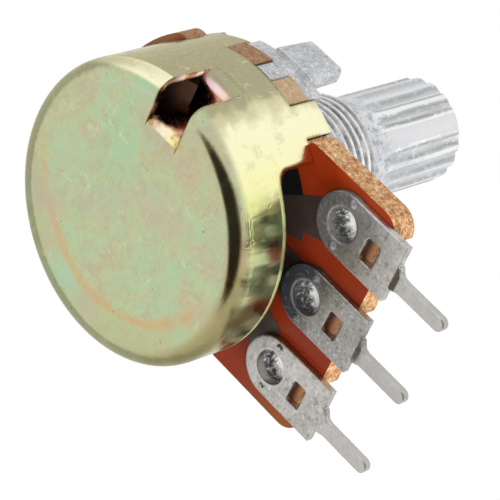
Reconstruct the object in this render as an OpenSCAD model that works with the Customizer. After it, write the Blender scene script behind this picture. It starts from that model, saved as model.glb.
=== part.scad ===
// Rotary potentiometer of the 16 mm class: one gang, panel mounting, three soldering pins.
// The shaft points to +Z. The origin lies on the shaft axis, in the mounting face of the front plate.
// The soldering pins point to -Y, and the first terminal lies toward -X. All sizes are in millimetres.

/* [Cover] */
// Outside diameter of the cover
cover_d = 16.2; // [16:0.1:17.2]
// Thickness of the cover's steel sheet
sheet_t = 0.4; // [0.3:0.05:0.45]
// Outside radius of the corner between the cover's wall and its back
cover_corner_r = 0.8; // [0.6:0.1:1.3]
// Depth of the body, from the mounting face to the outside of the cover's back
body_depth = 8.65; // [8.6:0.05:9.6]
// Height of the gap between the cut-back rim and the board, where the printed leads come out
lead_gap_h = 2.75; // [2.3:0.05:2.9]
// Width of the cut-back stretch of the rim
lead_gap_w = 12.44; // [11.4:0.02:12.6]
// How far the middle of that stretch lies toward the first terminal
lead_gap_shift = 0.06; // [0:0.02:0.1]
// Radius of the corners of that stretch
lead_gap_corner_r = 0.7; // [0.3:0.1:1]
// Angle between the X axis and the middle of an upper tab
upper_tab_at = 28; // [26:0.5:30]
// Width of an upper tab, as an angle
upper_tab_deg = 16; // [13:0.5:18]
// Angle between the X axis and the middle of a lower tab
lower_tab_at = 23.7; // [22.7:0.5:25]
// Width of a lower tab, as an angle
lower_tab_deg = 13; // [10:0.5:14]
// How far a folded tab reaches in from the outside of the cover
tab_reach = 1.6; // [1.3:0.1:1.9]
// Inside radius of a tab's fold
tab_fold_r = 0.4; // [0.25:0.05:0.45]

/* [Stop strip pressed into the cover] */
// Width of the slit in the cover's corner
slit_w = 2.3; // [2.1:0.1:2.6]
// Clearance between the slit's sides and the strip
slit_gap = 0.05; // [0.03:0.01:0.1]
// Distance from the outside of the wall to the rear face of the strip's first leg
strip_reach = 2.25; // [2.1:0.05:2.4]
// Distance from the outside of the back to the rear face of the strip's second leg
strip_depth = 2.8; // [2.4:0.05:2.85]
// Outside radius of the strip's bends
strip_bend_r = 0.5; // [0.45:0.05:0.6]

/* [Terminal board] */
// Thickness of the board
board_t = 1.5; // [1.3:0.05:1.6]
// How far the board's upper lobe stands out of the cover
board_lobe = 0.35; // [0.1:0.05:0.7]
// How far the board lies inside the outside of the cover between the tabs and under the rim
board_inset = 0.05; // [0:0.05:0.15]
// Angle between the X axis and the end of the upper lobe
lobe_end_at = 38; // [37:1:45]
// Radius of the lobe's rounded ends
lobe_end_r = 0.9; // [0.5:0.1:1.2]
// Distance from the axis to the straight side by the first terminal
board_left = 7.15; // [7:0.05:8]
// Distance from the axis to the straight side by the third terminal
board_right = 7.7; // [7:0.05:8]
// Distance from the axis to the board's lower edge
board_foot = 11.2; // [11:0.1:11.6]
// Radius of the board's lower corners
board_corner_r = 1.2; // [0.5:0.1:1.5]
// Radius of the corners where the straight sides end at the lower tabs
shoulder_r = 0.4; // [0.2:0.05:0.6]
// Depth of the notch under each terminal's window
foot_notch_depth = 0.65; // [0.4:0.05:0.9]
// Width of that notch
foot_notch_w = 2; // [1.6:0.1:2.6]

/* [Printed tracks] */
// Thickness of the printed layers
print_t = 0.03; // [0.02:0.01:0.05]
// Inner radius of the carbon track
track_in_r = 5.3; // [5.1:0.05:5.5]
// Distance from the carbon track to the inside of the cover's wall
track_gap = 0.85; // [0.7:0.05:1.2]
// Angle between the -Y axis and each end of the carbon track
track_end_at = 38.6; // [34:0.2:42]
// Inner radius of the collector ring
collector_in_r = 4.05; // [3.95:0.05:4.15]
// Outer radius of the collector ring
collector_out_r = 4.85; // [4.7:0.05:5]
// Angle that each outer lead covers beside the track
lead_deg = 20.6; // [18:0.2:24]
// Angle that it covers between there and its eyelet
lead_neck_deg = 16.6; // [14:0.2:18]
// Width of the middle lead
middle_lead_w = 2.5; // [1.8:0.1:2.8]

/* [Terminals] */
// Distance between neighbouring terminals
pitch = 5; // [4.8:0.1:5.2]
// Distance from the shaft axis to the row of eyelets
eyelet_y = 8.4; // [8.3:0.05:8.6]
// Thickness of the terminals
terminal_t = 0.4; // [0.3:0.05:0.5]
// Width of a terminal's plate
plate_w = 3.5; // [3:0.1:3.8]
// Distance from the shaft axis to the end of the plates
plate_end = 12.3; // [12:0.1:12.8]
// Distance from the shaft axis to the middle of the windows
window_y = 10.5; // [10.4:0.05:10.7]
// Width of a window
window_w = 1.4; // [1.1:0.1:1.7]
// Height of a window
window_h = 0.95; // [0.7:0.05:1.1]
// Distance from the shaft axis to the tips of the pins
pin_tip = 16.15; // [15:0.05:18]
// Width of a pin
pin_w = 0.78; // [0.6:0.02:1]
// Width of a pin at its root
pin_root_w = 1.45; // [1.3:0.05:1.8]
// Radius of the fillets at the root
pin_fillet_r = 0.9; // [0.5:0.1:1.1]
// How far the windows and the pins sit toward the third terminal
pin_shift = 0.1; // [0:0.05:0.2]
// How far a pin is set back from its plate, to the rear
pin_jog = 0.25; // [0.1:0.05:0.4]
// Radius of the small pips that keep the plate from turning
pip_r = 0.22; // [0.15:0.01:0.3]
// Distance from the eyelet's middle to a pip
pip_x = 1.38; // [1.35:0.01:1.45]
// Radius of the eyelet's hollow, seen from the rear
eyelet_r = 0.95; // [0.8:0.05:1]
// Wall of the eyelet
eyelet_wall = 0.2; // [0.15:0.05:0.25]
// Radius of the eyelet's flared end, in front of the board
flare_r = 1.5; // [1.3:0.05:1.6]
// Thickness of the flared end
flare_t = 0.3; // [0.2:0.05:0.4]

/* [Front plate] */
// Thickness of the plate
plate_t = 1.2; // [1.1:0.05:1.4]
// How far the plate's rim lies inside the outside of the cover
plate_step = 0.1; // [0.05:0.05:0.2]
// Distance from the axis to the plate's lower edge, above the eyelets
plate_foot = 6.4; // [6:0.1:6.6]
// Depth of the mounting face over the folded tabs
tab_recess = 0.36; // [0.2:0.02:0.4]
// Radius of the boss that fills the board's hole
boss_r = 3.75; // [3.4:0.05:3.8]
// Width of the key that holds the board, the plate and the cover in line
key_w = 1.3; // [1:0.05:1.6]
// Radial depth of the key
key_depth = 1.1; // [0.9:0.05:1.2]
// Height of the locating tab over the mounting face
locator_h = 2.35; // [1.5:0.05:3]
// Width of the locating tab
locator_w = 2.75; // [2:0.05:3]
// Radial depth of the locating tab
locator_depth = 1.1; // [0.8:0.05:1.4]
// How far the locating tab's outer face stands out of the plate's rim
locator_proud = 0.25; // [0.05:0.05:0.3]
// Taper of the locating tab, on each side
locator_draft = 0.06; // [0.05:0.01:0.2]
// Height of the rounded rim on the locating tab
locator_rim = 0.3; // [0.2:0.05:0.4]

/* [Bush] */
// Thread diameter of the bush
bush_d = 7; // [6.8:0.05:7.4]
// Length of the bush over the mounting face
bush_l = 7; // [5:0.1:9]
// Chamfer at the end of the bush
bush_chamfer = 0.3; // [0.1:0.05:0.5]

/* [Shaft] */
// Diameter of the knurled head
shaft_d = 6; // [5.8:0.05:6.4]
// Length of the shaft over the mounting face
shaft_l = 15; // [13.6:0.1:25]
// Diameter of the journal inside the bush
journal_d = 4.8; // [4.4:0.1:5]
// Running clearance between journal and bore, on the radius
bore_gap = 0.03; // [0.02:0.01:0.06]
// Play of the shaft along its axis, at each end
end_play = 0.05; // [0.03:0.01:0.08]
// Number of places round the knurled head: one stays a plain land and the others are grooves
teeth = 18; // [12:1:20]
// Angle of the plain land from the X axis, in the middle of the travel
land_at = 221; // [0:1:360]
// Depth of a groove
groove_depth = 0.35; // [0.25:0.01:0.45]
// Angle between the two sides of a groove
groove_angle = 92; // [70:2:96]
// Plain length between the bush and the grooves
plain_l = 1.15; // [0.8:0.05:2]
// How much shallower the round cutter's path is than the grooves
cutter_lift = 0.02; // [0.01:0.01:0.05]
// Radius of the cutter that runs the grooves out
cutter_r = 2.6; // [1.5:0.1:4]
// Chamfer at the end of the shaft
shaft_chamfer = 0.5; // [0.4:0.05:0.6]

/* [Retaining ring] */
// Thickness of the ring
ring_t = 0.5; // [0.4:0.05:0.6]
// Outside radius of the ring
ring_out_r = 3; // [2.8:0.05:3.2]
// Radius at the bottom of the ring's groove
groove_r = 1.8; // [1.7:0.05:1.9]
// Opening of the ring, as an angle
ring_open_deg = 70; // [50:5:90]

/* [Rotor] */
// Clearance between the rotor's disc and the inside of the cover's wall
rotor_gap = 0.9; // [0.8:0.05:1]
// Thickness of the rotor's disc
rotor_t = 1.05; // [0.95:0.05:1.1]
// Radius of the rotor's hub
hub_r = 2.7; // [2.65:0.05:2.8]
// Radius of the round part of the shaft's tenon
tenon_r = 1.6; // [1.5:0.05:1.7]
// Distance between the tenon's flats
tenon_flats = 2.4; // [2.2:0.1:2.6]
// Thickness of the staked end of the tenon
stake_t = 0.35; // [0.3:0.05:0.45]
// Distance from the mounting face to the rotor's hub
hub_front = 3.95; // [3.9:0.05:4]
// Height of the hub over the disc
hub_h = 0.35; // [0.3:0.05:0.4]
// How far the stop lug lies inside the disc's rim
lug_inset = 0.1; // [0.05:0.05:0.3]
// Radial depth of the stop lug
lug_depth = 1.2; // [0.9:0.05:1.4]
// Clearance between the stop lug and the inside of the cover's back
lug_gap = 0.3; // [0.2:0.05:0.5]
// Turning range of the shaft, in degrees
travel_deg = 300; // [270:5:310]

/* [Wiper spring] */
// Thickness of the spring
spring_t = 0.2; // [0.15:0.05:0.25]
// Outer radius of the spring's ring
spring_ring_r = 4; // [3.85:0.05:4.05]
// Width of the arms
arm_w = 0.6; // [0.5:0.05:0.65]
// Length of the arms, from root to contact
arm_l = 1.8; // [1.6:0.1:2]
// Width of the bars that carry the arms
arm_bar_w = 0.5; // [0.4:0.05:0.6]
// Radius of the rounded contacts
contact_r = 0.24; // [0.2:0.02:0.3]
// Clearance between the contacts and the printed layers
contact_gap = 0.04; // [0.03:0.01:0.06]
// Radius of the two pins that hold the spring
spring_pin_r = 0.35; // [0.3:0.05:0.4]

/* [Hidden] */
$fn = 96;
// Clearance between fixed pieces that fit into each other
fit = 0.05;
// How far a cut reaches past a face
cut = 1;
// Clearance beside a tab, as an angle
tab_side_deg = 1;

cover_r = cover_d / 2;
wall_in_r = cover_r - sheet_t;
back_z = -body_depth;
board_front_z = -plate_t;
board_rear_z = board_front_z - board_t;
board_r = cover_r - board_inset;
board_lobe_r = cover_r + board_lobe;
// The straight sides end where the side of a lower tab's notch meets them
shoulder_y = -board_left * tan(lower_tab_at + lower_tab_deg / 2 + tab_side_deg);
print_z = board_rear_z - print_t;
track_out_r = wall_in_r - track_gap;
plate_r = cover_r - plate_step;
locator_out_r = plate_r + locator_proud;

// A folded tab lies on the plate at the first height, and its fold begins at the second
tab_seat_z = -(tab_recess + sheet_t);
tab_fold_z = tab_seat_z - tab_fold_r;
tab_fold_x = wall_in_r - tab_fold_r;

// The slit runs from where the strip leaves the back to where it meets the wall
strip_leg_x = cover_r - strip_reach;
slit_x = strip_leg_x - strip_bend_r;
strip_z = back_z + strip_depth;
slit_z = strip_z + strip_bend_r;
strip_w = slit_w - 2 * slit_gap;

terminal_rear_z = print_z - terminal_t;
eyelet_out_r = eyelet_r + eyelet_wall;

bush_r = bush_d / 2;
bore_r = journal_d / 2 + bore_gap;
bore_chamfer = 0.15;
// Chamfers of the plate's rim and of the shaft's shoulders
plate_rim = 0.15;
shoulder = 0.15;
journal_chamfer = 0.1;
head_z = bush_l + end_play;

// The grooves are straight from this height on, down to this radius
groove_bottom = shaft_d / 2 - groove_depth;
run_out_z = bush_l + plain_l + sqrt(pow(cutter_r, 2) - pow(cutter_r - groove_depth, 2));

ring_z = board_rear_z - end_play;
ring_in_r = groove_r + fit / 2;
groove_w = ring_t + fit;

disc_front_z = -(hub_front + hub_h);
disc_rear_z = disc_front_z - rotor_t;
rotor_r = wall_in_r - rotor_gap;
lug_out_r = rotor_r - lug_inset;
lug_in_r = lug_out_r - lug_depth;
lug_rear_z = back_z + sheet_t + lug_gap;
stop_gap = 0.04;
spring_pin_x = (hub_r + spring_ring_r) / 2;

// The contacts run in the middle of the track and of the collector ring
outer_contact_r = (track_in_r + track_out_r) / 2;
inner_contact_r = (collector_in_r + collector_out_r) / 2;
// Height of the middle of the contacts' round tips
contact_z = print_z - contact_gap - contact_r;

// A ring sector between two radii, from one angle to another
module sector(r_in, r_out, from, to) {
    intersection() {
        difference() {
            circle(r_out);
            circle(r_in);
        }
        polygon([[0, 0], for (i = [0:6])
            let (a = from + (to - from) * i / 6) 2 * r_out * [cos(a), sin(a)]]);
    }
}

// A rectangle with rounded corners, its middle at the origin
module rounded_rect(w, h, r) {
    square([w - 2 * r, h], center = true);
    square([w, h - 2 * r], center = true);
    for (x = [-1, 1], y = [-1, 1])
        translate([x * (w / 2 - r), y * (h / 2 - r)]) circle(r, $fn = 48);
}

// Sweeps a section over each of the four tabs, wider by some degrees on both sides
module at_tabs(more = 0) {
    for (side = [0, 1]) mirror([side, 0, 0]) {
        sweep(180 - upper_tab_at, upper_tab_deg + 2 * more) children();
        sweep(180 + lower_tab_at, lower_tab_deg + 2 * more) children();
    }
}

// Sweeps a section, drawn in radius and Z, over an angle round its middle
module sweep(middle, width) {
    rotate(middle - width / 2) rotate_extrude(angle = width) children();
}

// One quarter of a bend in the sheet, from the angle a to a + 90
module bend(r_out, a) {
    rotate(a) intersection() {
        difference() {
            circle(r_out, $fn = 64);
            circle(r_out - sheet_t, $fn = 64);
        }
        square(r_out);
    }
}

// Sweeps a section over the four stretches between the tabs
module between_tabs() {
    upper = [upper_tab_at - upper_tab_deg / 2, upper_tab_at + upper_tab_deg / 2];
    lower = [lower_tab_at - lower_tab_deg / 2, lower_tab_at + lower_tab_deg / 2];
    sweep(90, 180 - 2 * upper[1]) children();
    sweep(270, 180 - 2 * lower[1]) children();
    sweep((upper[0] - lower[0]) / 2, upper[0] + lower[0]) children();
    sweep(180 - (upper[0] - lower[0]) / 2, upper[0] + lower[0]) children();
}

// Section of the drawn cup with a tab: back, corner, wall, and the fold over the front plate
module cup_section() {
    translate([0, back_z]) square([cover_r - cover_corner_r, sheet_t]);
    translate([cover_r - cover_corner_r, back_z + cover_corner_r]) bend(cover_corner_r, -90);
    translate([wall_in_r, back_z + cover_corner_r])
        square([sheet_t, tab_fold_z - back_z - cover_corner_r]);
    translate([tab_fold_x, tab_fold_z]) bend(tab_fold_r + sheet_t, 0);
    translate([cover_r - tab_reach, tab_seat_z])
        square([tab_fold_x - cover_r + tab_reach, sheet_t]);
}

// Section of the stop strip: bent in from the back, then out again to the wall
module strip_section() {
    r = strip_bend_r;
    inner_r = r - sheet_t;
    translate([slit_x - sheet_t, back_z]) square([sheet_t, sheet_t]);
    translate([slit_x, back_z + r]) bend(r, -90);
    translate([strip_leg_x - sheet_t, back_z + r])
        square([sheet_t, strip_depth - r - inner_r]);
    translate([strip_leg_x + inner_r, strip_z - inner_r]) bend(r, 90);
    translate([strip_leg_x + inner_r, strip_z])
        square([cover_r - r - strip_leg_x - inner_r, sheet_t]);
    translate([cover_r - r, slit_z]) bend(r, -90);
    translate([wall_in_r, slit_z]) square([sheet_t, sheet_t]);
}

// Shape of the cut-back stretch of the rim, seen along Y
module lead_gap_shape() {
    r = lead_gap_corner_r;
    translate([-lead_gap_shift, board_rear_z - lead_gap_h]) {
        translate([-lead_gap_w / 2 + r, 0]) square([lead_gap_w - 2 * r, lead_gap_h + cut]);
        translate([-lead_gap_w / 2, r]) square([lead_gap_w, lead_gap_h + cut - r]);
        for (x = [-1, 1]) translate([x * (lead_gap_w / 2 - r), r]) circle(r, $fn = 48);
    }
}

module rear_cover() {
    color("darkkhaki") {
        difference() {
            rotate_extrude() cup_section();
            between_tabs() translate([cover_r - tab_reach - cut, board_rear_z])
                square([tab_reach + 2 * cut, -board_rear_z + cut]);
            translate([0, -cover_r / 2, 0]) rotate([90, 0, 0])
                linear_extrude(cover_r) lead_gap_shape();
            translate([-cover_r - cut, -slit_w / 2, back_z - cut])
                cube([cover_r + cut - slit_x, slit_w, slit_z - back_z + cut]);
        }
        intersection() {
            sweep(180, 40) strip_section();
            translate([-cover_r - cut, -strip_w / 2, back_z - cut])
                cube([cover_r + cut, strip_w, body_depth + cut]);
        }
    }
}

// Places a child at each of the three terminals, or at one of them
module at_terminals(list = [-1, 0, 1]) {
    for (i = list) translate([i * pitch, 0]) children();
}

// Outline of the board without its holes
module board_outline() {
    r = board_corner_r;
    round_at = lobe_end_at + asin(lobe_end_r / (board_lobe_r - lobe_end_r));
    circle(board_r);
    sector(board_r - cut, board_lobe_r, round_at, 180 - round_at);
    for (a = [round_at, 180 - round_at]) rotate(a) translate([board_lobe_r - lobe_end_r, 0])
        circle(lobe_end_r, $fn = 48);
    translate([-board_left, -board_foot + r])
        square([board_left + board_right, board_foot - r - shoulder_r + shoulder_y]);
    translate([-board_left + r, -board_foot])
        square([board_left + board_right - 2 * r, board_foot + shoulder_y]);
    for (x = [shoulder_r - board_left, board_right - shoulder_r])
        translate([x, shoulder_y - shoulder_r]) circle(shoulder_r, $fn = 32);
    for (x = [r - board_left, board_right - r]) translate([x, -board_foot + r]) circle(r, $fn = 48);
}

module terminal_board() {
    color("firebrick") difference() {
        translate([0, 0, board_rear_z]) linear_extrude(board_t) difference() {
            board_outline();
            circle(boss_r + fit);
            at_terminals() translate([0, -eyelet_y]) circle(eyelet_out_r + fit);
            at_terminals() translate([0, -board_foot - cut + foot_notch_depth])
                translate([-foot_notch_w / 2, 0]) square([foot_notch_w, cut]);
            translate([-board_lobe_r - cut, -key_w / 2 - fit])
                square([board_lobe_r + cut - cover_r + key_depth + 2 * fit, key_w + 2 * fit]);
        }
        at_tabs(tab_side_deg) translate([wall_in_r - fit, board_rear_z - cut])
            square([cover_r, board_t + 2 * cut]);
    }
}

module resistive_track() {
    color("dimgray") translate([0, 0, print_z]) linear_extrude(print_t)
        sector(track_in_r, track_out_r, -90 + track_end_at, 270 - track_end_at);
}

module collector_ring() {
    color("silver") translate([0, 0, print_z]) linear_extrude(print_t) difference() {
        circle(collector_out_r);
        circle(collector_in_r);
    }
}

// Printed pad round an eyelet, with the hole that the eyelet goes through
module eyelet_pad() {
    translate([0, -eyelet_y]) circle(plate_w / 2 - fit);
}

module outer_lead(side) {
    color("sienna") translate([0, 0, print_z]) linear_extrude(print_t) difference() {
        union() {
            outer = -90 + side * track_end_at;
            inner = outer - side * lead_deg;
            neck = outer - side * lead_neck_deg;
            sector(track_in_r, track_out_r, min(outer, inner), max(outer, inner));
            sector(track_out_r - cut, eyelet_y, min(outer, neck), max(outer, neck));
            at_terminals([side]) eyelet_pad();
        }
        at_terminals([side]) translate([0, -eyelet_y]) circle(eyelet_out_r + fit);
    }
}

module lead_print_left() {
    outer_lead(-1);
}

module lead_print_right() {
    outer_lead(1);
}

module lead_print_middle() {
    color("sienna") translate([0, 0, print_z]) linear_extrude(print_t) difference() {
        union() {
            translate([-middle_lead_w / 2, -eyelet_y])
                square([middle_lead_w, eyelet_y - collector_out_r + fit / 2]);
            eyelet_pad();
        }
        circle(collector_out_r);
        translate([0, -eyelet_y]) circle(eyelet_out_r + fit);
    }
}

// Flat outline of a terminal: plate, filleted root and pin
module terminal_outline() {
    r = pin_fillet_r;
    translate([0, -eyelet_y]) circle(plate_w / 2);
    translate([-plate_w / 2, -plate_end]) square([plate_w, plate_end - eyelet_y]);
    translate([pin_shift, 0]) {
        translate([-pin_w / 2, -pin_tip + pin_w / 2]) square([pin_w, pin_tip - plate_end]);
        translate([0, -pin_tip + pin_w / 2]) circle(pin_w / 2, $fn = 48);
        for (side = [0, 1]) mirror([side, 0]) difference() {
            translate([0, -plate_end - r]) square([pin_root_w / 2, 2 * r]);
            translate([pin_w / 2 + r, -plate_end - r]) circle(r, $fn = 64);
        }
    }
}

// Side view of a terminal, drawn in Y and Z: below the plate the pin is set back to the rear
module terminal_side() {
    top = -eyelet_y + plate_w;
    knee = -plate_end - 2 * pin_jog;
    tip = -pin_tip - cut;
    rear = print_z - terminal_t;
    polygon([[top, print_z], [-plate_end, print_z], [knee, print_z - pin_jog],
        [tip, print_z - pin_jog], [tip, rear - pin_jog], [knee, rear - pin_jog],
        [-plate_end, rear], [top, rear]]);
}

// Section of the eyelet: a closed cup drawn through the board and flared in front of it
module eyelet_section() {
    lip_x = flare_r - flare_t / 2;
    floor_z = terminal_rear_z + terminal_t / 2;
    difference() {
        union() {
            translate([0, terminal_rear_z]) square([eyelet_out_r, board_front_z - terminal_rear_z]);
            translate([0, board_front_z]) square([lip_x, flare_t]);
            translate([lip_x, board_front_z + flare_t / 2]) circle(flare_t / 2, $fn = 32);
        }
        translate([0, terminal_rear_z - cut]) square([eyelet_r, floor_z - terminal_rear_z + cut]);
        translate([0, floor_z]) intersection() {
            circle(eyelet_r, $fn = 64);
            translate([0, -fit]) square(eyelet_r + fit);
        }
        translate([0, board_front_z + flare_t]) intersection() {
            circle(eyelet_r / 2, $fn = 48);
            translate([0, -eyelet_r]) square(2 * eyelet_r);
        }
    }
}

module terminal(place) {
    color("lightslategray") translate([place * pitch, 0, 0]) {
        difference() {
            intersection() {
                translate([0, 0, terminal_rear_z - cut])
                    linear_extrude(terminal_t + 2 * cut) terminal_outline();
                translate([-plate_w, 0, 0]) rotate([90, 0, 90])
                    linear_extrude(2 * plate_w) terminal_side();
            }
            translate([pin_shift, -window_y, terminal_rear_z - cut])
                linear_extrude(terminal_t + 2 * cut) rounded_rect(window_w, window_h, terminal_t / 2);
            translate([0, -eyelet_y, terminal_rear_z - cut])
                cylinder(r = eyelet_r, h = terminal_t + 2 * cut);
        }
        translate([0, -eyelet_y, 0]) rotate_extrude() eyelet_section();
        for (x = [-pip_x, pip_x]) translate([x, -eyelet_y, terminal_rear_z - pip_r / 2])
            cylinder(r1 = pip_r / 2, r2 = pip_r, h = pip_r / 2);
    }
}

module terminal_left() {
    terminal(-1);
}

module terminal_middle() {
    terminal(0);
}

module terminal_right() {
    terminal(1);
}

// Section that a folded tab takes out of the plate: the metal under the fold stays
module tab_recess_section() {
    difference() {
        translate([cover_r - tab_reach - fit, -plate_t - cut])
            square([tab_reach + cut, plate_t + 2 * cut]);
        translate([0, -plate_t - 2 * cut]) square([tab_fold_x, plate_t + 2 * cut + tab_seat_z]);
        translate([0, -plate_t - 2 * cut]) square([wall_in_r - fit, plate_t + 2 * cut + tab_fold_z]);
        translate([tab_fold_x, tab_fold_z]) circle(tab_fold_r - fit, $fn = 48);
    }
}

// The cast locating tab: it tapers, and its outer face follows the plate's rim
module locator() {
    module slice(z, inset) {
        translate([-locator_out_r + locator_depth / 2, 0, z]) linear_extrude(locator_rim / 10)
            rounded_rect(locator_depth - 2 * inset, locator_w - 2 * inset, locator_depth / 4);
    }
    intersection() {
        hull() {
            slice(-locator_rim, 0);
            slice(locator_h - locator_rim, locator_draft);
            slice(locator_h - locator_rim / 10, locator_draft + locator_rim / 2);
        }
        translate([0, 0, -plate_t]) cylinder(r = locator_out_r, h = plate_t + 2 * locator_h);
    }
}

module front_plate() {
    color("gainsboro") difference() {
        union() {
            rotate_extrude() polygon([[0, -plate_t], [plate_r, -plate_t],
                [plate_r, -plate_rim], [plate_r - plate_rim, 0], [0, 0]]);
            translate([0, 0, board_rear_z]) cylinder(r = boss_r, h = board_t + plate_t / 2);
            cylinder(r = bush_r, h = bush_l - bush_chamfer);
            translate([0, 0, bush_l - bush_chamfer])
                cylinder(r1 = bush_r, r2 = bush_r - bush_chamfer, h = bush_chamfer);
            locator();
            translate([-cover_r + key_depth / 2, 0, board_rear_z + 2 * fit])
                linear_extrude(board_t + plate_t - locator_rim / 2)
                    rounded_rect(key_depth, key_w, key_w / 4);
        }
        translate([0, 0, board_rear_z - cut])
            cylinder(r = bore_r, h = board_t + plate_t + bush_l + 2 * cut);
        translate([0, 0, bush_l - bore_chamfer])
            cylinder(r1 = bore_r, r2 = bore_r + 2 * bore_chamfer, h = 2 * bore_chamfer);
        translate([-cover_r, -plate_foot - cover_r, -plate_t - cut])
            cube([cover_d, cover_r, plate_t + 2 * cut]);
        at_tabs(tab_side_deg) tab_recess_section();
    }
}

// Section of the cutter that makes the knurl's grooves
module groove_section() {
    reach = 1.5 * groove_depth;
    half = reach * tan(groove_angle / 2);
    polygon([[0, 0], [reach, -half], [reach, half]]);
}

// Places a child at each groove of the knurl
module at_grooves() {
    for (i = [1:teeth - 1]) rotate(land_at + i * 360 / teeth) children();
}

// The round cutter's path, where it runs a groove out toward the bush
module run_out() {
    translate([groove_bottom + cutter_lift + cutter_r, 0, run_out_z]) rotate([90, 0, 0]) rotate(170)
        rotate_extrude(angle = 55) translate([cutter_r, 0]) mirror([1, 0]) groove_section();
}

// Section of the knurled head, with its grooves
module knurl_plan() {
    difference() {
        circle(shaft_d / 2);
        at_grooves() translate([groove_bottom, 0]) groove_section();
    }
}

// Plan of the shaft's tenon: a circle with two flats
module tenon_plan(more = 0) {
    intersection() {
        circle(tenon_r + more);
        square([2 * (tenon_r + more), tenon_flats + 2 * more], center = true);
    }
}

module shaft() {
    r = shaft_d / 2;
    j = journal_d / 2;
    groove_front = ring_z + fit / 2;
    color("silver") {
        difference() {
            rotate_extrude() polygon([[0, -hub_front], [j - journal_chamfer, -hub_front],
                [j, -hub_front + journal_chamfer], [j, groove_front - groove_w],
                [groove_r, groove_front - groove_w], [groove_r, groove_front], [j, groove_front],
                [j, head_z], [r - shoulder, head_z], [r, head_z + shoulder],
                [r, run_out_z], [0, run_out_z]]);
            at_grooves() run_out();
        }
        intersection() {
            translate([0, 0, run_out_z]) linear_extrude(shaft_l - run_out_z) knurl_plan();
            rotate_extrude() polygon([[0, run_out_z - cut], [r + cut, run_out_z - cut],
                [r + cut, shaft_l - shaft_chamfer - cut], [r - shaft_chamfer, shaft_l],
                [r - shaft_chamfer, shaft_l + cut], [0, shaft_l + cut]]);
        }
        translate([0, 0, disc_rear_z]) linear_extrude(-hub_front - disc_rear_z + fit) tenon_plan();
        translate([0, 0, disc_rear_z - stake_t])
            cylinder(r1 = tenon_r, r2 = tenon_r + stake_t, h = stake_t);
    }
}

module retaining_ring() {
    color("gray") translate([0, 0, ring_z - ring_t]) linear_extrude(ring_t)
        sector(ring_in_r, ring_out_r, ring_open_deg / 2, 360 - ring_open_deg / 2);
}

// Plan of the stop lug: its sides lie along the strip's sides at both ends of the travel
module lug_plan() {
    half_free = (360 - travel_deg) / 2;
    side = strip_w / 2 + stop_gap;
    intersection() {
        sector(lug_in_r, lug_out_r, -half_free, half_free);
        rotate(half_free) translate([0, -side - rotor_r]) square([2 * rotor_r, rotor_r]);
        rotate(-half_free) translate([0, side]) square([2 * rotor_r, rotor_r]);
    }
}

// Places a child at the two pins that hold the spring on the rotor
module at_spring_pins() {
    for (x = [-spring_pin_x, spring_pin_x]) translate([x, 0, disc_front_z]) children();
}

module rotor() {
    color("darkslategray") {
        difference() {
            union() {
                translate([0, 0, disc_rear_z]) cylinder(r = rotor_r, h = rotor_t);
                translate([0, 0, disc_front_z - fit]) cylinder(r = hub_r, h = hub_h + fit);
                translate([0, 0, lug_rear_z])
                    linear_extrude(disc_rear_z - lug_rear_z + fit) lug_plan();
            }
            translate([0, 0, disc_rear_z - cut]) linear_extrude(rotor_t + hub_h + 2 * cut)
                tenon_plan(fit / 2);
        }
        at_spring_pins() {
            translate([0, 0, -fit]) cylinder(r = spring_pin_r, h = spring_t + fit);
            translate([0, 0, spring_t])
                cylinder(r1 = 1.6 * spring_pin_r, r2 = spring_pin_r, h = spring_pin_r / 2);
        }
    }
}

// Bar that carries an arm, from the spring's ring out to the arm's root
module arm_bar(radius) {
    translate([-arm_l - arm_bar_w, spring_ring_r / 2])
        square([arm_bar_w, radius + arm_w / 2 - spring_ring_r / 2]);
}

// One arm of the spring: it rises from its bar to a rounded contact on the Y axis
module spring_arm(radius) {
    base = disc_front_z;
    half = spring_t / 2;
    translate([0, radius + arm_w / 2, 0]) rotate([90, 0, 0]) linear_extrude(arm_w) {
        polygon([[-arm_l - arm_bar_w, base], [-arm_l, base], [0, contact_z - half],
            [0, contact_z + half], [-arm_l - half, base + spring_t],
            [-arm_l - arm_bar_w, base + spring_t]]);
        translate([0, contact_z]) circle(contact_r, $fn = 32);
    }
}

module wiper_spring() {
    color("goldenrod") {
        difference() {
            translate([0, 0, disc_front_z]) linear_extrude(spring_t) {
                difference() {
                    circle(spring_ring_r);
                    circle(hub_r + fit);
                }
                arm_bar(outer_contact_r);
                mirror([1, 0]) arm_bar(inner_contact_r);
            }
            at_spring_pins() translate([0, 0, -cut]) cylinder(r = spring_pin_r + fit / 2, h = 2 * cut);
        }
        spring_arm(outer_contact_r);
        mirror([1, 0, 0]) spring_arm(inner_contact_r);
    }
}

rear_cover();
terminal_board();
resistive_track();
collector_ring();
lead_print_left();
lead_print_middle();
lead_print_right();
terminal_left();
terminal_middle();
terminal_right();
front_plate();
shaft();
retaining_ring();
rotor();
wiper_spring();
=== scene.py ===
import math

import bpy
from mathutils import Matrix, Vector


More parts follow.
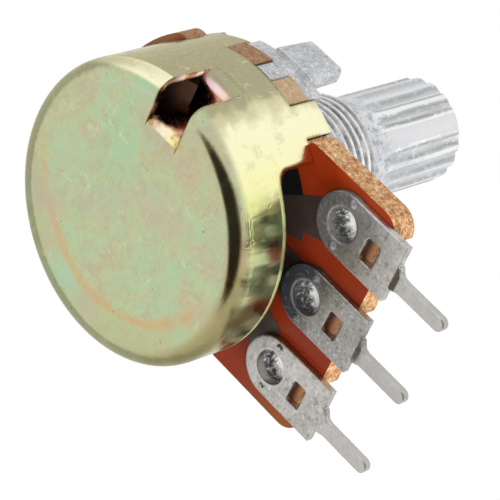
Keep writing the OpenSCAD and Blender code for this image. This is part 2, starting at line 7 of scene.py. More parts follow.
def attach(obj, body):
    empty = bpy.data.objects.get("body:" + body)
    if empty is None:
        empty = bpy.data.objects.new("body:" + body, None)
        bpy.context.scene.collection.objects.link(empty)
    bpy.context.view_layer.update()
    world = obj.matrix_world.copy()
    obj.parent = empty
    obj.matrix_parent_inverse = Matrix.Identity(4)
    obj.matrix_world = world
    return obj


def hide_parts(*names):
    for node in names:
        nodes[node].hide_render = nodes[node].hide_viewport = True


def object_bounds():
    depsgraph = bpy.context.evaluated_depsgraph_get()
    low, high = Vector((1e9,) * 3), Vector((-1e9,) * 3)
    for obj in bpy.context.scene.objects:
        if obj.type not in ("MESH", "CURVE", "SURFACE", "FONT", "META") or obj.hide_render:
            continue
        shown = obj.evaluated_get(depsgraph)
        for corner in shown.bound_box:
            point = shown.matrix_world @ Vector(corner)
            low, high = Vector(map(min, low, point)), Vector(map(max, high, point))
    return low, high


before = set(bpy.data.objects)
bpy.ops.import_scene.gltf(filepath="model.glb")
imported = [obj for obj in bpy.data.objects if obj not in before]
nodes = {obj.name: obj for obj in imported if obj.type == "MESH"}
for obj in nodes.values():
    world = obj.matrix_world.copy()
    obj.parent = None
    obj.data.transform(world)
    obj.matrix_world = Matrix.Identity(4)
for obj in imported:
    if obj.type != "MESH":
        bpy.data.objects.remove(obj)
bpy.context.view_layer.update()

# Lengths on the part are written in mm, and this makes them metres. The stage around it is in metres.
MM = 0.001

# Places on the part, in mm in the part's own frame.
BACK_Z = -8.65      # the cover's flat back
COVER_R = 8.1       # the cover's outer radius
SLIT_HALF = 1.15    # half the width of the slit at the stop strip
EYELET_Y = -8.4     # the middles of the terminals' eyelets
PIN_PITCH = 5.0     # from one terminal to the next
PIN_SHIFT = 0.1     # how far the terminals' windows sit toward the third terminal

# Places on the knurl, as angles round the shaft.
PLAIN_LAND = math.radians(-139)
KNURL_STEP = math.radians(20)
GLEAM = math.radians(165)


def add_object(name, data):
    """Puts a camera, a lamp or a mesh in the scene."""
    ob = bpy.data.objects.new(name, data)
    bpy.context.scene.collection.objects.link(ob)
    return ob


def empty_material(name):
    """A node material that holds only its output."""
    mat = bpy.data.materials.new(name)
    mat.use_nodes = True
    mat.node_tree.nodes.clear()
    out = mat.node_tree.nodes.new("ShaderNodeOutputMaterial")
    return mat, mat.node_tree, out.inputs["Surface"]


# ---------------------------------------------------------------- camera, floor and light

def add_camera():
    """The pinhole camera that was fitted to the photograph."""
    cam = bpy.data.cameras.new("camera")
    cam.lens = 192.7
    cam.sensor_width = 36.0
    cam.clip_start = 0.001
    cam.clip_end = 10.0
    ob = add_object("camera", cam)
    right = Vector((-0.35309, -0.63797, 0.68435))
    up = Vector((-0.73413, 0.64236, 0.22005))
    back = Vector((-0.57998, -0.42470, -0.69516))
    place = Matrix((right, up, back)).transposed().to_4x4()
    place.translation = Vector((-79.802, -62.899, -99.246)) * MM
    ob.matrix_world = place
    bpy.context.scene.camera = ob


def add_world():
    """White where the camera, a reflection or glass sees it, and a weaker fill as light on the part."""
    world = bpy.data.worlds.new("studio")
    bpy.context.scene.world = world
    world.use_nodes = True
    nt = world.node_tree
    nt.nodes.clear()
    path = nt.nodes.new("ShaderNodeLightPath")
    seen = path.outputs["Is Camera Ray"]
    for ray in ("Is Glossy Ray", "Is Transmission Ray"):
        either = nt.nodes.new("ShaderNodeMath")
        either.operation = "MAXIMUM"
        nt.links.new(seen, either.inputs[0])
        nt.links.new(path.outputs[ray], either.inputs[1])
        seen = either.outputs[0]
    mix = nt.nodes.new("ShaderNodeMixShader")
    nt.links.new(seen, mix.inputs[0])
    for slot, color, strength in ((1, (0.98, 0.99, 1.0, 1), 0.60), (2, (1, 1, 1, 1), 1.0)):
        light = nt.nodes.new("ShaderNodeBackground")
        light.inputs["Color"].default_value = color
        light.inputs["Strength"].default_value = strength
        nt.links.new(light.outputs[0], mix.inputs[slot])
    out = nt.nodes.new("ShaderNodeOutputWorld")
    nt.links.new(mix.outputs[0], out.inputs["Surface"])


def add_lamp(name, place, size, power):
    """A soft round lamp that faces the part and doesn't show in its metal."""
    lamp = bpy.data.lights.new(name, "AREA")
    lamp.shape = "DISK"
    lamp.size = size
    lamp.energy = power
    ob = add_object(name, lamp)
    ob.location = Vector(place)
    ob.rotation_euler = (-Vector(place)).to_track_quat("-Z", "Y").to_euler()
    ob.visible_glossy = False


def add_card(name, way, distance, radius, shade):
    """A dark round card with a soft brown edge, which shows only in reflections. Lengths are in mm."""
    way = Vector(way).normalized()
    side = way.orthogonal().normalized()
    over = way.cross(side)
    count = 48
    turns = [2 * math.pi * i / count for i in range(count)]
    pts = [way * distance + (side * math.cos(a) + over * math.sin(a)) * radius for a in turns]
    mesh = bpy.data.meshes.new(name)
    mesh.from_pydata([tuple(v * MM) for v in pts], [], [tuple(range(count))])
    ob = add_object(name, mesh)
    mat, nt, surface = empty_material(name)
    coords = nt.nodes.new("ShaderNodeTexCoord")
    from_middle = nt.nodes.new("ShaderNodeVectorMath")
    from_middle.operation = "DISTANCE"
    nt.links.new(coords.outputs["Object"], from_middle.inputs[0])
    from_middle.inputs[1].default_value = way * distance * MM
    outward = nt.nodes.new("ShaderNodeMath")
    outward.operation = "DIVIDE"
    outward.inputs[1].default_value = radius * MM
    nt.links.new(from_middle.outputs["Value"], outward.inputs[0])
    soft = nt.nodes.new("ShaderNodeValToRGB")
    soft.color_ramp.interpolation = "EASE"
    stops = soft.color_ramp.elements
    stops[0].position, stops[0].color = 0.54, (shade, shade * 0.93, shade * 0.8, 1)
    stops[1].position, stops[1].color = 1.0, (1, 1, 1, 1)
    stops.new(0.72).color = (0.20, 0.14, 0.09, 1)
    nt.links.new(outward.outputs[0], soft.inputs[0])
    glow = nt.nodes.new("ShaderNodeEmission")
    nt.links.new(soft.outputs["Color"], glow.inputs["Color"])
    nt.links.new(glow.outputs[0], surface)
    mesh.materials.append(mat)
    ob.visible_camera = False
    ob.visible_diffuse = False
    ob.visible_transmission = False
    ob.visible_shadow = False


def add_floor(z):
    """A pale floor under the part. From below it is clear, so the camera can look up at the part."""
    half = 1.5
    corners = [(-half, -half, z), (half, -half, z), (half, half, z), (-half, half, z)]
    mesh = bpy.data.meshes.new("floor")
    mesh.from_pydata(corners, [], [(0, 1, 2, 3)])
    ob = add_object("floor", mesh)
    mat, nt, surface = empty_material("floor")
    geo = nt.nodes.new("ShaderNodeNewGeometry")
    pale = nt.nodes.new("ShaderNodeBsdfDiffuse")
    pale.inputs["Color"].default_value = (0.86, 0.86, 0.85, 1)
    clear = nt.nodes.new("ShaderNodeBsdfTransparent")
    mix = nt.nodes.new("ShaderNodeMixShader")
    nt.links.new(geo.outputs["Backfacing"], mix.inputs[0])
    nt.links.new(pale.outputs[0], mix.inputs[1])
    nt.links.new(clear.outputs[0], mix.inputs[2])
    nt.links.new(mix.outputs[0], surface)
    mesh.materials.append(mat)
    ob.visible_shadow = False
    ob.visible_diffuse = False
    ob.visible_glossy = False
    ob.visible_transmission = False


# ---------------------------------------------------------------- material helpers

def rgba(color):
    """A colour with its fourth number, 1 where none is given."""
    return tuple(color) + (1.0,) if len(color) == 3 else tuple(color)


class Tree:
    """Short forms for building a node material. A value is a number or another node's socket."""

    def __init__(self, name):
        self.mat, self.nt, surface = empty_material(name)
        self.bsdf = self.new("ShaderNodeBsdfPrincipled")
        self.link(self.bsdf.outputs[0], surface)
        self.pos = self.new("ShaderNodeTexCoord").outputs["Object"]
        self.normal = self.new("ShaderNodeNewGeometry").outputs["True Normal"]

    def new(self, kind):
        return self.nt.nodes.new(kind)

    def link(self, a, b):
        self.nt.links.new(a, b)

    def put(self, socket, value):
        """Links a socket to another one, or sets it to a number."""
        if hasattr(value, "is_output"):
            self.link(value, socket)
        else:
            socket.default_value = value

    def set(self, name, value):
        """Sets or links a socket of the shader."""
        is_color = isinstance(value, tuple) and len(value) == 3
        self.put(self.bsdf.inputs[name], rgba(value) if is_color else value)

    # arithmetic

    def math(self, op, a, b=0.0, c=0.0):
        n = self.new("ShaderNodeMath")
        n.operation = op
        for socket, value in zip(n.inputs, (a, b, c)):
            self.put(socket, value)
        return n.outputs[0]

    def add(self, a, b):
        return self.math("ADD", a, b)

    def sub(self, a, b):
        return self.math("SUBTRACT", a, b)

    def mul(self, a, b):
        return self.math("MULTIPLY", a, b)

    def abs(self, a):
        return self.math("ABSOLUTE", a)

    def both(self, *masks):
        """1 only where all masks are 1."""
        out = masks[0]
        for mask in masks[1:]:
            out = self.mul(out, mask)
        return out

    # places

    def xyz(self, vector=None):
        n = self.new("ShaderNodeSeparateXYZ")
        self.link(vector or self.pos, n.inputs[0])
        return n.outputs[0], n.outputs[1], n.outputs[2]

    def radius(self, x, y):
        """Distance from the shaft's axis."""
        return self.math("SQRT", self.add(self.mul(x, x), self.mul(y, y)))

    def far(self, x, y, z, vector=None):
        """Distance from a point given in mm."""
        n = self.new("ShaderNodeVectorMath")
        n.operation = "DISTANCE"
        self.link(vector or self.pos, n.inputs[0])
        n.inputs[1].default_value = (x * MM, y * MM, z * MM)
        return n.outputs["Value"]

    def stretch(self, scale, rotation=(0, 0, 0)):
        """Places turned and scaled, for a noise with a direction."""
        n = self.new("ShaderNodeMapping")
        n.inputs["Scale"].default_value = scale
        n.inputs["Rotation"].default_value = rotation
        self.link(self.pos, n.inputs["Vector"])
        return n.outputs[0]

    # masks

    def span(self, value, lo, hi, to_lo=0.0, to_hi=1.0, smooth=True):
        """Goes from one number to another while the value goes from lo to hi."""
        n = self.new("ShaderNodeMapRange")
        n.interpolation_type = "SMOOTHSTEP" if smooth else "LINEAR"
        self.put(n.inputs["Value"], value)
        n.inputs["From Min"].default_value = lo
        n.inputs["From Max"].default_value = hi
        n.inputs["To Min"].default_value = to_lo
        n.inputs["To Max"].default_value = to_hi
        return n.outputs["Result"]

    def at(self, value, lo, hi, to_lo=0.0, to_hi=1.0, smooth=True):
        """span, with lo and hi in mm."""
        return self.span(value, lo * MM, hi * MM, to_lo, to_hi, smooth)

    def band(self, value, middle, half, soft):
        """1 where a value lies within half of the middle, with soft ends."""
        return self.span(self.abs(self.sub(value, middle)), half - soft, half + soft, 1.0, 0.0)

    def line(self, value, middle, half, soft):
        """band, in mm."""
        return self.band(value, middle * MM, half * MM, soft * MM)

    def near(self, x, y, z, inner, outer, wobble):
        """1 near a point given in mm, falling to 0 from one distance to another, with an uneven edge."""
        uneven = self.span(self.noise(900, 3, 0.6), 0.2, 0.8, -wobble * MM, wobble * MM, False)
        return self.at(self.add(self.far(x, y, z), uneven), inner, outer, 1.0, 0.0)

    def noise(self, scale, detail, rough, vector=None, distortion=0.0):
        """Noise around 0.5, with about scale patches to the metre."""
        n = self.new("ShaderNodeTexNoise")
        n.inputs["Scale"].default_value = scale
        n.inputs["Detail"].default_value = detail
        n.inputs["Roughness"].default_value = rough
        n.inputs["Distortion"].default_value = distortion
        self.link(vector or self.pos, n.inputs["Vector"])
        return n.outputs["Fac"]

    def soft_edges(self, radius):
        """The normal as if the edges were rounded."""
        n = self.new("ShaderNodeBevel")
        n.samples = 6
        self.put(n.inputs["Radius"], radius)
        return n.outputs[0]

    def sharp_edges(self, radius):
        """1 on sharp outer and inner edges, 0 on flat and gently curved faces."""
        n = self.new("ShaderNodeVectorMath")
        n.operation = "DOT_PRODUCT"
        self.link(self.soft_edges(radius), n.inputs[0])
        self.link(self.normal, n.inputs[1])
        return self.span(n.outputs["Value"], 0.985, 0.85)

    # colours and surface

    def ramp(self, fac, stops, smooth=False):
        """A colour for a value, from stops that are each a place and a colour."""
        n = self.new("ShaderNodeValToRGB")
        if smooth:
            n.color_ramp.interpolation = "EASE"
        e = n.color_ramp.elements
        e[0].position, e[0].color = stops[0][0], rgba(stops[0][1])
        e[1].position, e[1].color = stops[-1][0], rgba(stops[-1][1])
        for place, color in stops[1:-1]:
            e.new(place).color = rgba(color)
        self.put(n.inputs[0], fac)
        return n.outputs["Color"]

    def mix(self, fac, a, b, blend="MIX"):
        """Colour a where fac is 0 and colour b, or b blended on a, where it is 1."""
        n = self.new("ShaderNodeMix")
        n.data_type = "RGBA"
        n.blend_type = blend
        self.put(n.inputs[0], fac)
        self.put(n.inputs[6], rgba(a) if isinstance(a, tuple) else a)
        self.put(n.inputs[7], rgba(b) if isinstance(b, tuple) else b)
        return n.outputs[2]

    def paint(self, base, mask, weight, color):
        """A colour over the base where the mask is 1."""
        return self.mix(self.mul(mask, weight), base, color)

    def spots(self, base, noise, lo, hi, weight, color):
        """A colour over the base where a noise is past hi."""
        return self.mix(self.span(noise, lo, hi, 0.0, weight), base, color)

    def bump(self, height, strength, distance, normal=None):
        """The normal, or a given one, with a relief on it."""
        n = self.new("ShaderNodeBump")
        n.inputs["Strength"].default_value = strength
        n.inputs["Distance"].default_value = distance
        self.link(height, n.inputs["Height"])
        if normal is not None:
            self.link(normal, n.inputs["Normal"])
        return n.outputs[0]


def dress(node, mat):
    """Gives a piece of the CAD its material."""
    ob = nodes[node]
    ob.data.materials.clear()
    ob.data.materials.append(mat)


# ---------------------------------------------------------------- the cover's chromate

def chromate_back(t, x, y, r, grit, by_slit):
    """The flat back: green, rosy and sandy patches, an orange ring that is a painted reflection, and
    painted reflection and highlight along the corner.
    """
    patch = t.noise(520, 4, 0.6, distortion=0.3)
    back = t.ramp(patch, [(0.28, (0.52, 0.46, 0.31)), (0.40, (0.51, 0.51, 0.31)),
                          (0.50, (0.51, 0.56, 0.32)), (0.60, (0.46, 0.575, 0.34)),
                          (0.74, (0.53, 0.55, 0.27))], smooth=True)
    broad = t.noise(210, 3, 0.5, distortion=0.4)
    tint = t.ramp(broad, [(0.33, (1.06, 0.92, 0.95)), (0.50, (1.0, 1.0, 1.0)),
                          (0.66, (0.90, 1.02, 1.02))], smooth=True)
    back = t.mix(1.0, back, tint, "MULTIPLY")
    mottle = t.noise(1500, 4, 0.7)
    back = t.spots(back, mottle, 0.50, 0.64, 0.55, (0.50, 0.43, 0.31))
    back = t.spots(back, mottle, 0.46, 0.33, 0.50, (0.45, 0.63, 0.39))
    back = t.spots(back, grit, 0.52, 0.68, 0.40, (0.62, 0.60, 0.42))
    back = t.spots(back, grit, 0.48, 0.33, 0.35, (0.35, 0.42, 0.25))

    # a painted reflection: an orange ring where the flat meets the corner, and a darker painted reflection
    # on the corner outside it
    waver = t.span(t.noise(160, 2, 0.5), 0.3, 0.7, -0.25 * MM, 0.25 * MM, False)
    outward = t.add(t.far(-1.5, 0, BACK_Z), waver)
    uneven = t.span(t.noise(700, 3, 0.6), 0.28, 0.55, 0.45, 1.0)
    ring = t.both(t.line(outward, 6.85, 0.24, 0.34), t.at(x, -0.6, 2.2), uneven)
    back = t.paint(back, ring, 0.85, (0.63, 0.41, 0.19))
    outside = t.both(t.at(outward, 6.9, 7.6), t.at(x, -3, 2))
    back = t.paint(back, outside, 0.5, (0.50, 0.50, 0.27))
    sea = t.both(t.near(5.9, 2.2, BACK_Z, 0.3, 1.9, 0.5), t.at(outward, 6.95, 7.2))
    back = t.paint(back, sea, 0.75, (0.42, 0.60, 0.42))
    sand = t.both(t.near(3.2, 6.6, BACK_Z, 0.6, 2.4, 0.5), t.at(outward, 6.6, 7.1))
    back = t.paint(back, sand, 0.6, (0.50, 0.44, 0.34))

    # dark flecks in places, and a haze over them
    fleck = t.both(t.span(t.noise(4300, 2, 0.5), 0.68, 0.75), t.span(t.noise(500, 2, 0.5), 0.48, 0.62))
    back = t.paint(back, fleck, 0.75, (0.13, 0.12, 0.08))
    haze = t.noise(380, 3, 0.55, t.stretch((1, 1, 1), (0.3, 0.2, 0.9)))
    back = t.spots(back, haze, 0.52, 0.68, 0.5, (0.53, 0.47, 0.36))
    back = t.spots(back, haze, 0.47, 0.33, 0.45, (0.43, 0.60, 0.38))

    # a pale line inside the crescent as a painted highlight, then painted darker reflection along the
    # corner near the terminals, browner and olive in patches
    pale = t.both(t.line(r, 6.95, 0.05, 0.12), t.mul(by_slit, 0.5))
    back = t.mix(pale, back, (0.58, 0.58, 0.52))
    brown = t.both(t.at(r, 6.9, 7.6), t.at(y, -5.6, -6.8, 0.0, 0.7), t.at(x, -5.0, -3.6))
    back = t.mix(brown, back, (0.52, 0.38, 0.19))
    olive = t.both(t.at(r, 6.9, 7.7), t.at(y, -2.5, -5.5), t.at(x, -3.4, -1.8),
                   t.span(t.noise(420, 4, 0.65), 0.30, 0.60, 0.45, 0.95))
    return t.mix(olive, back, (0.34, 0.30, 0.14))


def chromate_wall(t, x, y, z, grit):
    """The round wall: from olive over cream to yellow and olive again, a painted reflection that is bright
    and dark by the way the wall faces, with the chromate's own patches over it.
    """
    turn = t.math("ARCTAN2", t.mul(y, -1.0), t.mul(x, -1.0))
    uneven = t.span(t.noise(300, 3, 0.6), 0.3, 0.7, -0.12, 0.12, False)
    # the first and last colours are the same, so that no step shows where the angle starts again
    # the colours round the wall are a painted reflection, bright cream and yellow on one side and dark on
    # another
    wall = t.ramp(t.span(t.add(turn, uneven), -1.6, 2.2, 0.0, 1.0, False),
                  [(0.0, (0.42, 0.40, 0.25)), (0.36, (0.40, 0.37, 0.24)), (0.468, (0.41, 0.385, 0.23)),
                   (0.495, (0.66, 0.62, 0.38)), (0.525, (0.97, 0.945, 0.64)), (0.62, (0.97, 0.94, 0.50)),
                   (0.675, (0.84, 0.88, 0.36)), (0.725, (0.60, 0.66, 0.35)), (0.80, (0.55, 0.56, 0.32)),
                   (0.84, (0.30, 0.25, 0.15)), (0.88, (0.36, 0.33, 0.19)), (0.93, (0.28, 0.25, 0.14)),
                   (1.0, (0.42, 0.40, 0.25))], smooth=True)
    wall = t.spots(wall, t.noise(800, 4, 0.65), 0.54, 0.70, 0.35, (0.52, 0.47, 0.28))
    upper = t.at(y, -1.0, 0.5)
    wall = t.mix(t.both(t.span(grit, 0.52, 0.68, 0.0, 0.45), upper), wall, (0.60, 0.57, 0.42))
    wall = t.mix(t.both(t.span(grit, 0.48, 0.33, 0.0, 0.4), upper), wall, (0.27, 0.25, 0.15))
    # green, red and brown patches toward the terminals
    stripes = t.noise(520, 3, 0.6, t.stretch((1, 1, 0.55)))
    green = t.both(t.span(stripes, 0.42, 0.52), t.at(y, -5.9, -6.6), t.at(z, -7.6, -6.9))
    wall = t.paint(wall, green, 0.8, (0.46, 0.56, 0.30))
    wall = t.paint(wall, t.near(-3.3, -7.4, -6.3, 0.2, 0.8, 0.25), 0.8, (0.24, 0.060, 0.030))
    return t.paint(wall, t.near(-0.14, -8.1, -7.06, 0.4, 1.2, 0.3), 0.8, (0.23, 0.14, 0.06))


def chromate_slit(t, base, x, y, z, r, strip, patchy):
    """The sheet's cut edges at the slit with a painted highlight, the copper stop strip with painted
    highlights and painted shade on its bends, and painted shade on the cover's inside.
    """
    # the cut edges at the slit get a painted highlight in patches, and are darker toward the back
    cut = t.both(t.line(t.abs(y), SLIT_HALF, 0.035, 0.01), t.at(x, -5.0, -5.2), t.at(z, -5.2, -5.4))
    cut_edge_highlight = t.mix(t.span(patchy, 0.40, 0.60), (0.52, 0.20, 0.09), (0.98, 0.80, 0.66))
    cut_edge_highlight = t.mix(t.at(z, -7.0, -7.9, 0.0, 0.75), cut_edge_highlight, (0.22, 0.11, 0.06))
    base = t.mix(cut, base, cut_edge_highlight)

    across = t.at(y, -1.1, 1.1, 0.0, 1.0, False)
    # the strip between its bends is copper, patched dark and light as painted shade and painted highlights
    copper = t.mix(t.span(patchy, 0.35, 0.7), (0.30, 0.10, 0.06), (0.80, 0.42, 0.26))
    # the strip's bend into the wall is rosy, with a painted highlight down its middle and painted shade at
    # its sides
    rosy = t.ramp(across, [(0.0, (0.55, 0.33, 0.20)), (0.22, (0.93, 0.66, 0.60)),
                           (0.5, (0.93, 0.72, 0.75)), (0.8, (0.80, 0.50, 0.53)),
                           (1.0, (0.36, 0.17, 0.12))])
    copper = t.mix(t.at(x, -7.35, -7.60), copper, rosy)
    # its bend into the back is golden, with a painted highlight across its middle and painted shade at one
    # side
    gold = t.ramp(across, [(0.0, (0.90, 0.78, 0.22)), (0.3, (0.98, 0.90, 0.50)),
                           (0.6, (0.97, 0.84, 0.66)), (1.0, (0.60, 0.32, 0.14))])
    gold = t.spots(gold, t.noise(2600, 3, 0.6), 0.50, 0.66, 0.6, (0.42, 0.22, 0.09))
    copper = t.mix(t.at(z, -8.15, -8.45), copper, gold)
    base = t.mix(strip, base, copper)

    # painted shade on the inside of the cover where it shows through the slit
    inside = t.both(t.at(r, 7.72, 7.69), t.at(z, -8.27, -8.24), t.sub(1.0, strip))
    return t.mix(inside, base, (0.09, 0.07, 0.06))


def scratches(t):
    """Thin lines in two directions, in patches."""
    one = t.noise(1500, 2, 0.5, t.stretch((1.0, 0.07, 0.2), (0.2, 0.1, 0.5)))
    other = t.noise(1700, 2, 0.5, t.stretch((0.08, 1.0, 0.2), (0.1, 0.3, -0.4)))
    lines = t.add(t.band(one, 0.5, 0.006, 0.006), t.band(other, 0.5, 0.005, 0.005))
    return t.both(lines, t.span(t.noise(700, 2, 0.5), 0.55, 0.62))


def chromate():
    """Yellow chromate over zinc on the folded steel cover."""
    t = Tree("yellow_chromate")
    x, y, z = t.xyz()
    r = t.radius(x, y)
    fine = t.noise(2600, 4, 0.7)
    grit = t.noise(4200, 4, 0.8)
    patchy = t.noise(1500, 3, 0.6)
    scratch = scratches(t)
    on_wall = t.at(z, -8.35, -7.85)
    by_slit = t.both(t.at(x, -4.2, -6.4), t.at(y, 0.9, 1.2))
    strip = t.both(t.at(t.abs(y), 1.115, 1.10), t.at(x, -5.30, -5.42), t.at(z, -5.70, -5.82))

    base = t.mix(on_wall, chromate_back(t, x, y, r, grit, by_slit), chromate_wall(t, x, y, z, grit))
    # the folded tabs are duller toward the front
    base = t.mix(t.at(z, -1.3, 0.0, 0.0, 0.8), base, (0.76, 0.70, 0.66), "MULTIPLY")
    # a painted highlight: a pale crescent along the corner beside the slit
    crescent_highlight = t.both(t.at(t.sub(r, t.mul(x, 0.22)), 8.98, 9.24), t.at(z, -7.90, -8.06), by_slit)
    base = t.mix(crescent_highlight, base, (0.95, 0.92, 0.62))
    base = t.paint(base, t.span(fine, 0.60, 0.78), 0.22, (0.30, 0.27, 0.20))
    base = t.paint(base, scratch, 0.28, (0.86, 0.84, 0.62))
    base = chromate_slit(t, base, x, y, z, r, strip, patchy)
    # the cut rim over the terminals catches the light
    rim = t.both(t.at(z, -5.72, -5.66), t.at(z, -5.40, -5.50), t.at(y, -4.9, -5.3, 0.0, 0.9),
                 t.span(t.noise(420, 3, 0.6), 0.36, 0.56, 0.45, 1.0))
    base = t.mix(rim, base, (0.66, 0.66, 0.30))
    # sharp edges are painted bright, partly rubbed metal and partly painted highlight, apart from those
    # round the slit and at the back
    at_slit = t.both(t.at(t.abs(y), 1.35, 1.25), t.at(x, -7.0, -7.3))
    edge_wear_and_highlight = t.both(t.sharp_edges(0.10 * MM), t.span(patchy, 0.34, 0.56, 0.2, 0.8), t.sub(1.0, at_slit),
                    t.at(z, -8.0, -7.6))
    base = t.mix(edge_wear_and_highlight, base, (0.97, 0.93, 0.50))
    t.set("Base Color", base)
    t.set("Metallic", t.span(rim, 0.0, 1.0, 1.0, 0.45, False))
    t.set("Specular Tint", (0.86, 0.83, 0.68))
    gloss = t.span(t.noise(1300, 3, 0.6), 0.3, 0.7, 0.12, 0.22)
    t.set("Roughness", t.add(gloss, t.both(on_wall, t.at(y, -3.5, -6.0, 0.0, 0.05))))

    # the back's flat falls off gently toward the corner
    fall = t.at(r, 6.55, COVER_R, 0.0, 1.0, False)
    crown = t.mul(t.mul(fall, fall), -0.80 * MM)
    rounded = t.soft_edges(t.span(strip, 0.0, 1.0, 0.30 * MM, 0.55 * MM, False))
    crowned = t.bump(crown, 1.0, 1.0, rounded)
    dented = t.bump(t.noise(330, 2, 0.4), 0.22, 0.22 * MM, crowned)
    grain = t.sub(t.mul(fine, 0.35), scratch)
    t.set("Normal", t.bump(grain, 0.16, 0.04 * MM, dented))
    return t.mat


# ---------------------------------------------------------------- the other materials

def laminate():
    """Phenolic board: glossy red-brown faces and fibrous tan cut edges."""
    t = Tree("phenolic_laminate")
    x, y, z = t.xyz()
    on_face = t.span(t.abs(t.xyz(t.normal)[2]), 0.5, 0.9)
    cloud = t.noise(260, 3, 0.5)
    face = t.ramp(cloud, [(0.3, (0.22, 0.022, 0.004)), (0.7, (0.35, 0.048, 0.009))])
    face = t.mix(t.at(x, -6.0, -2.8, 0.0, 0.85), face, (0.165, 0.019, 0.006))
    by_third_pin = t.both(t.at(x, 3.5, 7.2), t.at(y, -6.0, -10.5))
    face = t.mix(by_third_pin, face, (0.21, 0.060, 0.013))
    face = t.mix(t.at(y, 4.5, 6.5), face, (0.38, 0.15, 0.06))
    # the foot of the board that shows in the terminals' windows: painted shade under the plate, going over
    # into the tan cut edge
    half = PIN_PITCH / 2 * MM
    from_window = t.abs(t.math("WRAP", t.sub(x, PIN_SHIFT * MM), half, -half))
    foot = t.both(t.at(from_window, 0.95, 0.9), t.at(y, -9.90, -10.0), t.at(z, -2.4, -2.6))
    foot_shade_to_cut = t.mix(t.at(y, -10.05, -10.5), (0.10, 0.030, 0.014), (0.40, 0.19, 0.085))
    face = t.mix(foot, face, foot_shade_to_cut)

    fibre = t.noise(2900, 5, 0.8, t.stretch((1, 1, 1.5)))
    chips = t.noise(7600, 3, 0.8)
    cut = t.ramp(fibre, [(0.34, (0.22, 0.075, 0.025)), (0.45, (0.42, 0.19, 0.075)),
                         (0.56, (0.58, 0.35, 0.17)), (0.68, (0.86, 0.68, 0.42))])
    cut = t.spots(cut, chips, 0.56, 0.66, 0.65, (0.10, 0.035, 0.015))
    cut = t.spots(cut, chips, 0.44, 0.34, 0.6, (0.88, 0.76, 0.58))
    # the cut edges are browner toward the top of the board and paler beside the locating tab
    browner = t.both(t.at(y, 0.5, 3.0), t.at(x, -4.0, -2.0))
    cut = t.mix(browner, cut, (0.52, 0.40, 0.35), "MULTIPLY")
    by_tab = t.both(t.at(y, -4.0, -3.2), t.at(x, -5.0, -6.5, 0.0, 0.6))
    cut = t.mix(t.both(by_tab, t.at(y, 0.4, -0.4)), cut, (0.42, 0.34, 0.22))
    cut = t.mix(t.both(by_tab, t.at(y, -0.4, 0.4)), cut, (0.20, 0.115, 0.07))
    t.set("Base Color", t.mix(on_face, cut, face))
    t.set("Roughness", t.span(on_face, 0, 1, 0.78, 0.20))
    t.set("Specular IOR Level", 0.13)

    rough = t.bump(t.add(fibre, t.mul(chips, 0.6)), 0.65, 0.10 * MM, t.soft_edges(0.09 * MM))
    smooth = t.bump(cloud, 0.04, 0.05 * MM, t.soft_edges(0.05 * MM))
    n = t.new("ShaderNodeMix")
    n.data_type = "VECTOR"
    t.link(on_face, n.inputs[0])
    t.link(rough, n.inputs[4])
    t.link(smooth, n.inputs[5])
    t.set("Normal", n.outputs[1])
    return t.mat


def tin(name, middle_x, dark, light):
    """Matte tin on the terminal at middle_x, dark by so much where it lies in the cover's shadow."""
    t = Tree(name)
    y = t.xyz()[1]
    cloud = t.noise(520, 5, 0.65)
    grain = t.noise(5200, 3, 0.7)
    shadow = t.mul(t.at(y, -9.3, -8.0), dark)
    lit = t.ramp(cloud, [(0.30, (0.20 * light, 0.19 * light, 0.17 * light)),
                         (0.5, (0.26 * light, 0.25 * light, 0.235 * light)),
                         (0.7, (0.33 * light, 0.32 * light, 0.305 * light))])
    dim = t.ramp(cloud, [(0.30, (0.08, 0.09, 0.10)), (0.7, (0.24, 0.26, 0.28))])
    base = t.mix(shadow, lit, dim)
    base = t.spots(base, t.noise(2600, 2, 0.5), 0.60, 0.66, 0.45, (0.09, 0.085, 0.08))
    base = t.spots(base, grain, 0.55, 0.68, 0.5, (0.85, 0.84, 0.82))
    base = t.spots(base, grain, 0.45, 0.34, 0.45, (0.10, 0.095, 0.09))
    base = t.mix(shadow, base, t.mix(1.0, base, (0.17, 0.175, 0.185), "MULTIPLY"))
    # the pin is brighter than the plate, and the sharp edges are painted bright, partly rubbed metal and
    # partly painted highlight
    base = t.mix(t.at(y, -12.4, -13.2, 0.0, 0.75), base, (0.52, 0.505, 0.48))
    edge_wear_and_highlight = t.both(t.sharp_edges(0.10 * MM), t.span(t.noise(1900, 3, 0.6), 0.36, 0.56, 0.3, 1.0),
                    t.at(y, -7.6, -9.4, 0.25, 0.8))
    base = t.mix(edge_wear_and_highlight, base, (0.88, 0.87, 0.85))

    # the eyelet's drawn bottom is grainy, with a painted highlight a little beside its middle and painted
    # shade away from it
    plan = t.stretch((1, 1, 0))
    outward = t.far(middle_x, EYELET_Y, 0, plan)
    bowl = t.at(outward, 0.86, 0.96, 1.0, 0.0)
    crumb = t.noise(4800, 4, 0.75)
    glow = t.at(t.far(middle_x - 0.16, EYELET_Y - 0.26, 0, plan), 0.25, 1.0, 0.36, -0.11, False)
    bright = t.ramp(t.add(t.mul(crumb, 0.75), glow),
                    [(0.27, (0.05, 0.05, 0.05)), (0.36, (0.42, 0.415, 0.40)), (0.46, (1.0, 0.99, 0.97))])
    base = t.mix(bowl, base, bright)
    # a pale lip round the bowl, a painted highlight that fades in the painted shadow
    lip = t.both(t.line(outward, 1.02, 0.05, 0.04), t.span(shadow, 0.0, 1.0, 0.35, 0.08, False))
    base = t.mix(lip, base, (0.7, 0.69, 0.67))
    t.set("Base Color", base)
    t.set("Metallic", t.span(t.math("MAXIMUM", bowl, shadow), 0.0, 1.0, 1.0, 0.15, False))
    t.set("Roughness", t.span(t.noise(900, 3, 0.6), 0.3, 0.7, 0.28, 0.42))
    height = t.add(t.mul(grain, 0.40), t.mul(t.both(bowl, crumb), 1.2))
    t.set("Normal", t.bump(height, 0.35, 0.06 * MM, t.soft_edges(0.16 * MM)))
    return t.mat


